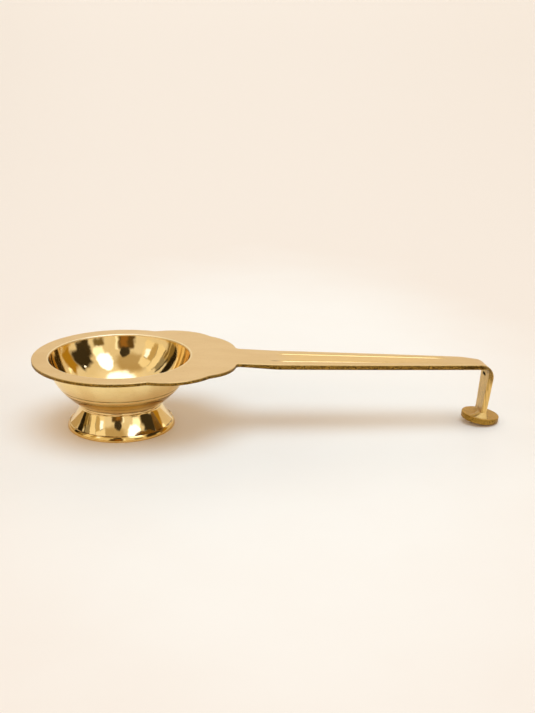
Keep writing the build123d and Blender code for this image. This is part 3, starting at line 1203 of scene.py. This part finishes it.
@dataclass
class Cup:
    """The turned cup with its two turned lines, and the braze run that holds it under the collar."""

    lamp: Lamp
    line_drops: Pair = (13.6, 15.8)
    line_width: float = 0.7
    line_depth: float = 0.25
    braze_width: float = 1.3
    braze_hollow: float = 0.16
    braze_steps: tuple[int, int] = (9, 6)
    section_steps: int = 60
    line_steps: int = 13
    segments: int = 192

    def groove(self, height: float) -> float:
        """Return the depth of the turned lines at a height."""
        depth = 0.0
        for drop in self.line_drops:
            share = (height - self.lamp.collar_top + drop) / (self.line_width / 2)
            if abs(share) < 1:
                depth += self.line_depth * (0.5 + 0.5 * math.cos(math.pi * share))
        return depth

    def profile(self) -> list[Pair]:
        """Return the cup's section from the axis under it round its rim to the axis inside it."""
        lamp = self.lamp
        rim = math.acos((lamp.sphere_centre - lamp.seat_height) / lamp.outer_sphere)
        angles = set(np.linspace(0, rim, self.section_steps))
        for drop in self.line_drops:
            middle, reach = lamp.collar_top - drop, self.line_width / 2
            for height in np.linspace(middle - reach, middle + reach, self.line_steps):
                angles.add(math.acos((lamp.sphere_centre - height) / lamp.outer_sphere))
        section = []
        for angle in sorted(angles):
            radius = lamp.outer_sphere - self.groove(lamp.sphere_centre - lamp.outer_sphere * math.cos(angle))
            section.append((radius * math.sin(angle), lamp.sphere_centre - radius * math.cos(angle)))
        inner_rim = math.asin(lamp.mouth_radius / lamp.inner_sphere)
        radius = lamp.inner_sphere
        for angle in np.linspace(inner_rim, 0, self.section_steps):
            section.append((radius * math.sin(angle), lamp.sphere_centre - radius * math.cos(angle)))
        return section

    def braze_profile(self) -> list[Pair]:
        """Return the closed section of the braze run, hollow between collar and cup."""
        lamp = self.lamp
        ceiling = lamp.collar_top - lamp.collar_thickness
        floor = ceiling - self.braze_width
        outer = np.array((lamp.outside_radius(ceiling) + self.braze_width, ceiling))
        chord = np.array((lamp.outside_radius(floor), floor)) - outer
        sag = np.array((chord[1], -chord[0])) * self.braze_hollow
        shares = np.linspace(0, 1, self.braze_steps[0])
        hollow = [outer + chord * share + sag * 4 * share * (1 - share) for share in shares]
        heights = np.linspace(floor, ceiling, self.braze_steps[1])[1:]
        seat = [(lamp.outside_radius(height), height) for height in heights]
        return [(float(r), float(h)) for r, h in (*hollow, *seat, outer)]

    def build(self, lathe: Tree, material: Material, filler: Material) -> None:
        """Build the cup and its braze run."""
        cup = turn_piece("lamp_cup", self.profile(), lathe, material, self.segments)
        settle(cup, Slot.POLISHED, "bowl")
        braze = turn_piece("cup_braze_run", self.braze_profile(), lathe, filler, self.segments)
        settle(braze, Slot.FILLER, "bowl_braze")


@dataclass
class Pedestal:
    """The turned trumpet, with the ring it stands on and the bead at its waist."""

    lamp: Lamp
    waist_radius: float = 19.6
    flare: float = 5.4
    sag: float = 0.45
    wall: float = 1.8
    ledge: float = 1.4
    band_height: float = 2.6
    band_width: float = 3.4
    face_radius: float = 4.2
    face_angles: Pair = (4.0, 38.0)
    band_rounding: float = 0.3
    bead_radius: float = 0.8
    bead_angles: Pair = (8.0, 62.0)
    bead_inset: float = 0.4
    floor_inset: float = 0.3
    profile_step: float = 0.6
    edge_steps: int = 7
    face_steps: int = 14
    bead_steps: int = 12
    seat_steps: int = 7
    segments: int = 192

    def profile(self) -> list[Pair]:
        """Return the closed section, up the outside from the floor, along the cup and down the inside."""
        lamp = self.lamp
        waist = (self.waist_radius, lamp.outside_height(self.waist_radius))
        foot = (self.waist_radius + self.flare, self.band_height)
        base, rounding = foot[0] + self.ledge, self.band_rounding
        face_height = self.band_height - self.face_radius * math.sin(math.radians(self.face_angles[1]))
        section = [(base - self.band_width, 0.0), (base - rounding - self.floor_inset, 0.0)]
        section += rounded_turn((base - rounding, rounding), rounding, -90, 0, self.edge_steps)
        face = (base - self.face_radius, face_height)
        section += rounded_turn(face, self.face_radius, *self.face_angles, self.face_steps)
        trumpet = bulging(foot, waist, self.sag).arc(foot, waist, self.profile_step)
        section += [tuple(point) for point in trumpet if math.dist(point, waist) > self.bead_radius]
        under = math.degrees(math.atan2(section[-1][1] - waist[1], section[-1][0] - waist[0]))
        start, end = under + self.bead_angles[0], self.bead_angles[1]
        bead = rounded_turn(waist, self.bead_radius, start, end, self.bead_steps)
        section += [point for point in bead if point[0] > lamp.outside_radius(point[1])]
        seat = (section[-1][0] - self.bead_inset, self.waist_radius - self.wall)
        for radius in np.linspace(*seat, self.seat_steps):
            section.append((radius, lamp.outside_height(radius)))
        return [*section, (foot[0] - self.wall, self.band_height), (base - self.band_width, 0.0)]

    def build(self, lathe: Tree, material: Material) -> None:
        """Build the pedestal."""
        piece = turn_piece("lamp_pedestal", self.profile(), lathe, material, self.segments)
        settle(piece, Slot.POLISHED, "pedestal")


@dataclass
class RearFoot:
    """The cast round foot under the leg, and the braze heaped round the leg's root."""

    lamp: Lamp
    leg_half_width: float = 5.9
    top_rounding: float = 0.4
    top_cast: float = 0.15
    flat_inset: float = 0.2
    heap_spread: float = 1.3
    heap_front: float = 2.6
    heap_wedge: float = 6.0
    heap_height: float = 2.2
    heap_edge: float = 0.2
    # How fast the heap turns flat towards the front and draws out, and how square its corners are
    heap_flat: float = 1.4
    heap_lobe: float = 2.6
    heap_square: Pair = (3.0, 1.25)
    heap_core: Triple = (0.6, 0.9, 1.0)
    heap_cast: float = 0.2
    heap_points: int = 64
    heap_levels: int = 10
    bottom_steps: tuple[int, int] = (6, 9)
    side_steps: int = 6
    top_steps: tuple[int, int] = (6, 8)
    disc_sand: Sand = Sand(0.6, 0.02, 9.0)
    heap_sand: Sand = Sand(1.1, 0.12, 2.0)
    segments: int = 96

    def profile(self) -> list[Pair]:
        """Return the disc's section from the axis under it to the axis on top."""
        lamp = self.lamp
        radius, low, high = lamp.disc_radius, lamp.disc_bottom_rounding, self.top_rounding
        edge = lamp.disc_thickness - high
        flat = np.linspace(0, radius - low - self.flat_inset, self.bottom_steps[0])
        section = [(r, 0.0) for r in flat]
        section += rounded_turn((radius - low, low), low, -90, 0, self.bottom_steps[1])
        section += [(radius, h) for h in np.linspace(low, edge, self.side_steps)[1:-1]]
        section += rounded_turn((radius - high, edge), high, 0, 90, self.top_steps[0])
        flat = np.linspace(radius - high - self.flat_inset, 0, self.top_steps[1])
        return section + [(r, lamp.disc_thickness) for r in flat]

    def heap_ring(self, rise: float) -> list[Triple]:
        """Return one level of the heap, a rounded oblong that is drawn out to a filed wedge in front.

        Args:
            rise: share of the heap's height.

        Returns:
            The points on the foot's own plane.
        """
        points = []
        half = (self.lamp.leg_thickness / 2, self.leg_half_width)
        height = self.lamp.disc_thickness + self.heap_height * rise
        for angle in np.linspace(0, 2 * math.pi, self.heap_points, endpoint=False):
            way = (math.cos(angle), math.sin(angle))
            front, left = max(0.0, -way[1]), max(0.0, -way[0])
            hollow = (1 - rise) ** (2 - min(1.0, self.heap_flat * front))
            wedge = min(1.0, self.heap_lobe * front * left**2) ** 2
            wide = self.heap_spread + (self.heap_wedge - self.heap_spread) * wedge
            deep = self.heap_spread + (self.heap_front - self.heap_spread) * front
            place = []
            for axis, reach in enumerate((wide, deep)):
                corner = half[axis] * min(max(way[axis] * self.heap_square[axis], -1.0), 1.0)
                place.append(corner + (self.heap_edge + (reach - self.heap_edge) * hollow) * way[axis])
            points.append((*place, height))
        return points

    def heap(self) -> Skin:
        """Build the braze heap, closed inside the leg."""
        skin = Skin()
        rings = [self.heap_ring(rise) for rise in np.linspace(0, 1, self.heap_levels)]
        rings += [list(np.multiply(ring, self.heap_core)) for ring in (rings[-1], rings[0])]
        rows = [skin.row(ring, cast=self.heap_cast) for ring in rings]
        rows.append(rows[0])
        for one, two in zip(rows, rows[1:]):
            skin.strip([*one, one[0]], [*two, two[0]])
        return skin

    def place(self, piece: Object) -> None:
        """Move a mesh from the foot's own plane to its place under the leg."""
        matrix = self.lamp.foot_matrix()
        matrix.translation *= MM
        piece.data.transform(matrix)

    def build(self, lathe: Tree, sand: Tree, material: Material, filler: Material) -> None:
        """Build the disc and the braze heap."""
        disc = turn_piece("lamp_rear_foot", self.profile(), lathe, material, self.segments)
        top = (self.lamp.disc_thickness - self.top_rounding / 2) * MM
        cast = disc.data.attributes.new(Zone.CAST.value, "FLOAT", "POINT")
        skin = [self.top_cast if vertex.co.z > top else 1.0 for vertex in disc.data.vertices]
        cast.data.foreach_set("value", skin)
        self.disc_sand.eat(disc, sand, material)
        self.place(disc)
        settle(disc, Slot.CAST, "foot_disc")
        heap = self.heap().piece("foot_braze_heap")
        self.heap_sand.eat(heap, sand, filler)
        self.place(heap)
        settle(heap, Slot.FILLER, "foot_braze")


# Studio


@dataclass(frozen=True)
class RoomPatch:
    """One thing in the room that the polish mirrors, as a soft-edged oblong or oval on the sky.

    The azimuth counts from the camera's side towards +X and the elevation from the horizon, in degrees.
    """

    azimuth: Pair
    elevation: Pair
    colour: Colour
    soft: float = 2.5
    shape: PatchShape = PatchShape.OBLONG

    def mask(self, nodes: Nodes, azimuth: Socket, elevation: Socket) -> Socket:
        """Return 1 where the thing stands and 0 elsewhere.

        Args:
            nodes: the world's tree.
            azimuth: azimuth of the direction that is looked in.
            elevation: its elevation.

        Returns:
            The mask.
        """
        if self.shape is PatchShape.OBLONG:
            wide = nodes.within(azimuth, self.azimuth, self.soft)
            return nodes.maths("MULTIPLY", wide, nodes.within(elevation, self.elevation, self.soft))
        squares = []
        for way, (low, high) in ((azimuth, self.azimuth), (elevation, self.elevation)):
            share = nodes.maths("DIVIDE", nodes.maths("SUBTRACT", way, (low + high) / 2), (high - low) / 2)
            squares.append(nodes.maths("MULTIPLY", share, share))
        soft = 2 * self.soft / (self.elevation[1] - self.elevation[0])
        return nodes.span(nodes.maths("ADD", *squares), 1 - soft, 1 + soft, 1.0, 0.0)


@dataclass
class Studio:
    """Pale floor with a painted pool of light round the lamp, soft light from above, the room that the brass
    mirrors, and the camera.
    """

    floor_colour: Colour = (0.985, 0.955, 0.895)
    # The floor's colour past the painted pool of light, also the backdrop
    floor_far: Colour = (0.92, 0.83, 0.74)
    low_fill: Colour = (1.6, 1.27, 0.97)
    high_fill: Colour = (0.27, 0.22, 0.17)
    key_colour: Colour = (0.58, 0.8, 1.0)
    key_strength: float = 1.75
    key_angle: float = 54.0
    key_tilt: Pair = (4.0, 5.0)
    wall: Colour = (0.88, 0.78, 0.63)
    overhead: Colour = (1.05, 0.94, 0.76)
    floor_radius: float = 10.0
    floor_segments: int = 96
    floor_roughness: float = 0.4
    floor_specular: float = 0.15
    floor_cloud: Grain = Grain(60.0, share=0.12)
    # Painted pool of light: the floor is paler round this middle and fades to the far colour
    painted_light_middle: Triple = (80.0, 30.0, 0.0)
    painted_light_stretch: Triple = (1, 2, 1)
    painted_light_reach: Pair = (70.0, 200.0)
    camera_place: Triple = (50.33, -558.35, 218.89)
    camera_pitch: float = 0.31881
    camera_yaw: float = 0.03922
    camera_roll: float = 0.00829
    focal_pixels: float = 1200.0
    image_height: float = 713.0
    sensor: float = 36.0
    wobble: float = 9.0
    wobble_scale: float = 6.0
    overhead_from: Pair = (50.0, 74.0)
    high_fill_from: Pair = (25.0, 45.0)
    patches: Sequence[RoomPatch] = (
        RoomPatch((-170, -114), (-14, 18), (0.53, 0.39, 0.21), 6.0),
        RoomPatch((118, 170), (-14, 20), (0.76, 0.62, 0.43), 6.0),
        RoomPatch((-112, 112), (-16, 6), (0.62, 0.37, 0.06), 3.0),
        RoomPatch((-114, -84), (4, 26), (0.24, 0.16, 0.05), 3.0),
        RoomPatch((98, 119), (5, 32), (0.44, 0.24, 0.02), 3.0),
        RoomPatch((-66, 16), (38, 70), (0.54, 0.41, 0.23), 9.0, PatchShape.ROUND),
        RoomPatch((-200, 200), (71, 100), (2.0, 2.3, 3.2), 4.0),
        RoomPatch((-84, -42), (14, 52), (1.02, 0.9, 0.67), 2.0),
        RoomPatch((-67, -57), (14, 40), (0.6, 0.45, 0.23), 1.5),
        RoomPatch((-55, -46), (25, 40), (1.4, 1.6, 2.2), 1.2),
        RoomPatch((-57, -46), (40, 41), (0.1, 0.08, 0.05), 0.6),
        RoomPatch((-68, -67), (16, 50), (0.25, 0.19, 0.11), 0.6),
        RoomPatch((-84, -82), (14, 46), (0.3, 0.23, 0.12), 0.6),
        RoomPatch((-96, -83), (24, 43), (0.34, 0.29, 0.2), 1.5),
        RoomPatch((-97, -94), (22, 44), (0.06, 0.045, 0.02), 1.0),
        RoomPatch((-114, -102), (4, 37), (0.02, 0.014, 0.005), 1.5),
        RoomPatch((-92, -90), (4, 26), (0.7, 0.55, 0.3), 0.8),
        RoomPatch((34, 56), (22, 46), (1.5, 1.5, 1.5), 4.0, PatchShape.ROUND),
        RoomPatch((22, 58), (35, 65), (2.2, 2.5, 3.6), 5.0, PatchShape.ROUND),
        RoomPatch((32, 50), (11, 24), (0.2, 0.14, 0.055), 3.0),
        RoomPatch((58, 82), (7, 34), (0.05, 0.035, 0.015), 3.0),
        RoomPatch((66, 98), (14, 43), (0.045, 0.034, 0.018), 3.0),
        RoomPatch((88, 92), (37, 41), (2.4, 2.6, 3.4), 1.0, PatchShape.ROUND),
        RoomPatch((118, 126), (22, 26), (1.5, 1.4, 1.1), 1.5),
        RoomPatch((8, 12), (8, 34), (1.3, 1.3, 1.3), 1.5),
        RoomPatch((-22, 7), (4, 32), (0.12, 0.07, 0.02), 3.0),
        RoomPatch((-15, 5), (27, 47), (0.05, 0.038, 0.022), 2.5, PatchShape.ROUND),
        RoomPatch((-10, 3), (4, 29), (0.32, 0.15, 0.03), 3.0),
    )

    def floor(self) -> None:
        """Lay the floor, with a painted pool of light round the lamp."""
        work = bmesh.new()
        segments = self.floor_segments
        bmesh.ops.create_circle(work, cap_ends=True, radius=self.floor_radius, segments=segments)
        mesh = bpy.data.meshes.new("floor")
        work.to_mesh(mesh)
        work.free()
        shader = Shader("pale_floor")
        surface = shader.surface.inputs
        # Painted pool of light round the lamp, fading to the far colour
        away = shader.distance(self.painted_light_middle, self.painted_light_stretch)
        far = shader.span(away, *(reach * MM for reach in self.painted_light_reach))
        share = shader.maths("ADD", far, shader.scattered(self.floor_cloud))
        colour = shader.blend(share, self.floor_colour, self.floor_far)
        shader.tree.links.new(colour, surface["Base Color"])
        surface["Roughness"].default_value = self.floor_roughness
        surface["Specular IOR Level"].default_value = self.floor_specular
        mesh.materials.append(shader.material)
        linked("floor", mesh)

    def key_light(self) -> None:
        """Hang a broad soft light from nearly overhead, which lights the floor and is hidden from the brass's
        reflections.
        """
        lamp = bpy.data.lights.new("overhead", "SUN")
        lamp.energy = self.key_strength
        lamp.color = self.key_colour
        lamp.angle = math.radians(self.key_angle)
        hung = bpy.data.objects.new("overhead", lamp)
        hung.visible_glossy = False
        hung.rotation_euler = (math.radians(self.key_tilt[0]), math.radians(self.key_tilt[1]), 0.0)
        bpy.context.scene.collection.objects.link(hung)

    def room(self) -> None:
        """Fill the room: an even warm fill for the floor, and walls and windows for the brass to mirror."""
        world = bpy.data.worlds.new("room")
        bpy.context.scene.world = world
        world.use_nodes = True
        nodes = Nodes(world.node_tree)
        way = nodes.add("ShaderNodeTexCoord").outputs["Generated"]
        parts = nodes.add("ShaderNodeSeparateXYZ", {0: way}).outputs
        azimuth = nodes.maths("ARCTAN2", parts["X"], nodes.maths("MULTIPLY", parts["Y"], -1.0))
        inputs = {"Vector": way, "Scale": self.wobble_scale, "Detail": 2.0}
        wave = nodes.add("ShaderNodeTexNoise", inputs).outputs["Color"]
        waves = nodes.add("ShaderNodeSeparateColor", {0: wave}).outputs
        centred = [nodes.maths("SUBTRACT", waves[axis], 0.5) for axis in (0, 1)]
        shifts = [nodes.maths("MULTIPLY", shift, self.wobble) for shift in centred]
        azimuth = nodes.maths("ADD", nodes.maths("DEGREES", azimuth), shifts[0])
        elevation = nodes.maths("DEGREES", nodes.maths("ARCSINE", parts["Z"]))
        elevation = nodes.maths("ADD", elevation, shifts[1])
        seen = nodes.blend(nodes.span(elevation, *self.overhead_from), self.wall, self.overhead)
        for patch in self.patches:
            seen = nodes.blend(patch.mask(nodes, azimuth, elevation), seen, patch.colour)
        fill = nodes.span(elevation, *self.high_fill_from)
        fill = nodes.blend(fill, self.low_fill, self.high_fill)
        path = nodes.add("ShaderNodeLightPath").outputs
        colour = nodes.blend(path["Is Glossy Ray"], fill, seen)
        colour = nodes.blend(path["Is Camera Ray"], colour, self.floor_far)
        nodes.tree.links.new(colour, nodes.tree.nodes["Background"].inputs["Color"])

    def camera(self) -> None:
        """Stand the camera where the photograph was taken from."""
        pitch, yaw, roll = self.camera_pitch, self.camera_yaw, self.camera_roll
        ahead = Vector((math.cos(pitch) * math.sin(yaw), math.cos(pitch) * math.cos(yaw), -math.sin(pitch)))
        level = Vector((math.cos(yaw), -math.sin(yaw), 0.0))
        upright = level.cross(ahead)
        right = math.cos(roll) * level + math.sin(roll) * upright
        up = math.cos(roll) * upright - math.sin(roll) * level
        data = bpy.data.cameras.new("camera")
        data.sensor_width = self.sensor
        data.lens = self.sensor * self.focal_pixels / self.image_height
        camera = bpy.data.objects.new("camera", data)
        turn = Matrix((right, up, -ahead)).transposed()
        camera.matrix_world = Matrix.Translation(Vector(self.camera_place) * MM) @ turn.to_4x4()
        bpy.context.scene.collection.objects.link(camera)
        bpy.context.scene.camera = camera

    def build(self) -> None:
        """Set the studio up."""
        self.floor()
        self.key_light()
        self.room()
        self.camera()
        bpy.context.scene.view_settings.view_transform = "Standard"


def dress_solid(node: str, material: Material) -> None:
    """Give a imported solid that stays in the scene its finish."""
    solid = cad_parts[node]
    solid.data.materials.clear()
    solid.data.materials.append(material)
    log.info("%s keeps its packed mesh", node)


def main() -> None:
    """Build the lamp's pieces in order, dress them and set the studio up."""
    logging.basicConfig(level=logging.INFO, format="%(name)s: %(message)s")
    lamp = Lamp()
    lathe, sand = lathe_tree(), cast_skin_tree()
    filler_finish = CastBrass(
        "filler_brass",
        bright=(0.64, 0.42, 0.13),
        shade=(0.4, 0.24, 0.06),
        roughness=0.36,
        sand=Grain(1.2, detail=4.0, span=(0.4, 0.62)),
    )
    filler = filler_finish.material()
    HandlePlate(lamp).build(sand, GroundBrass().material())
    ball = (lamp.sphere_centre, lamp.inner_sphere + lamp.bowl_wall / 2)
    # Cup: the outside is lightened up high as painted light, and below the turned lines it takes a painted
    # dark reflection with streaks
    cup_finish = TurnedBrass(
        "turned_cup",
        ball=ball,
        painted_reflection_heights=(18.5, 20.5),
        tarnish_heights=((19.45, 19.95), (21.65, 22.15)),
        tarnish_least=0.75,
        painted_reflection_streak_share=0.7,
    )
    Cup(lamp).build(lathe, cup_finish.material(), filler)
    pedestal_finish = TurnedBrass(
        "turned_pedestal",
        outer=(0.93, 0.71, 0.36),
        # The ring at the foot takes a painted dark reflection
        deep=(0.82, 0.56, 0.2),
        satin_roughness=0.06,
        painted_reflection_heights=(2.3, 2.7),
        tarnish_heights=((2.55, 2.8), (11.0, 11.4)),
    )
    Pedestal(lamp).build(lathe, pedestal_finish.material())
    foot_finish = CastBrass("cast_foot", sand_depth=0.02)
    RearFoot(lamp).build(lathe, sand, foot_finish.material(), filler)
    dress_solid("pedestal_solder", filler)
    Studio().build()


if __name__ == "__main__":
    main()
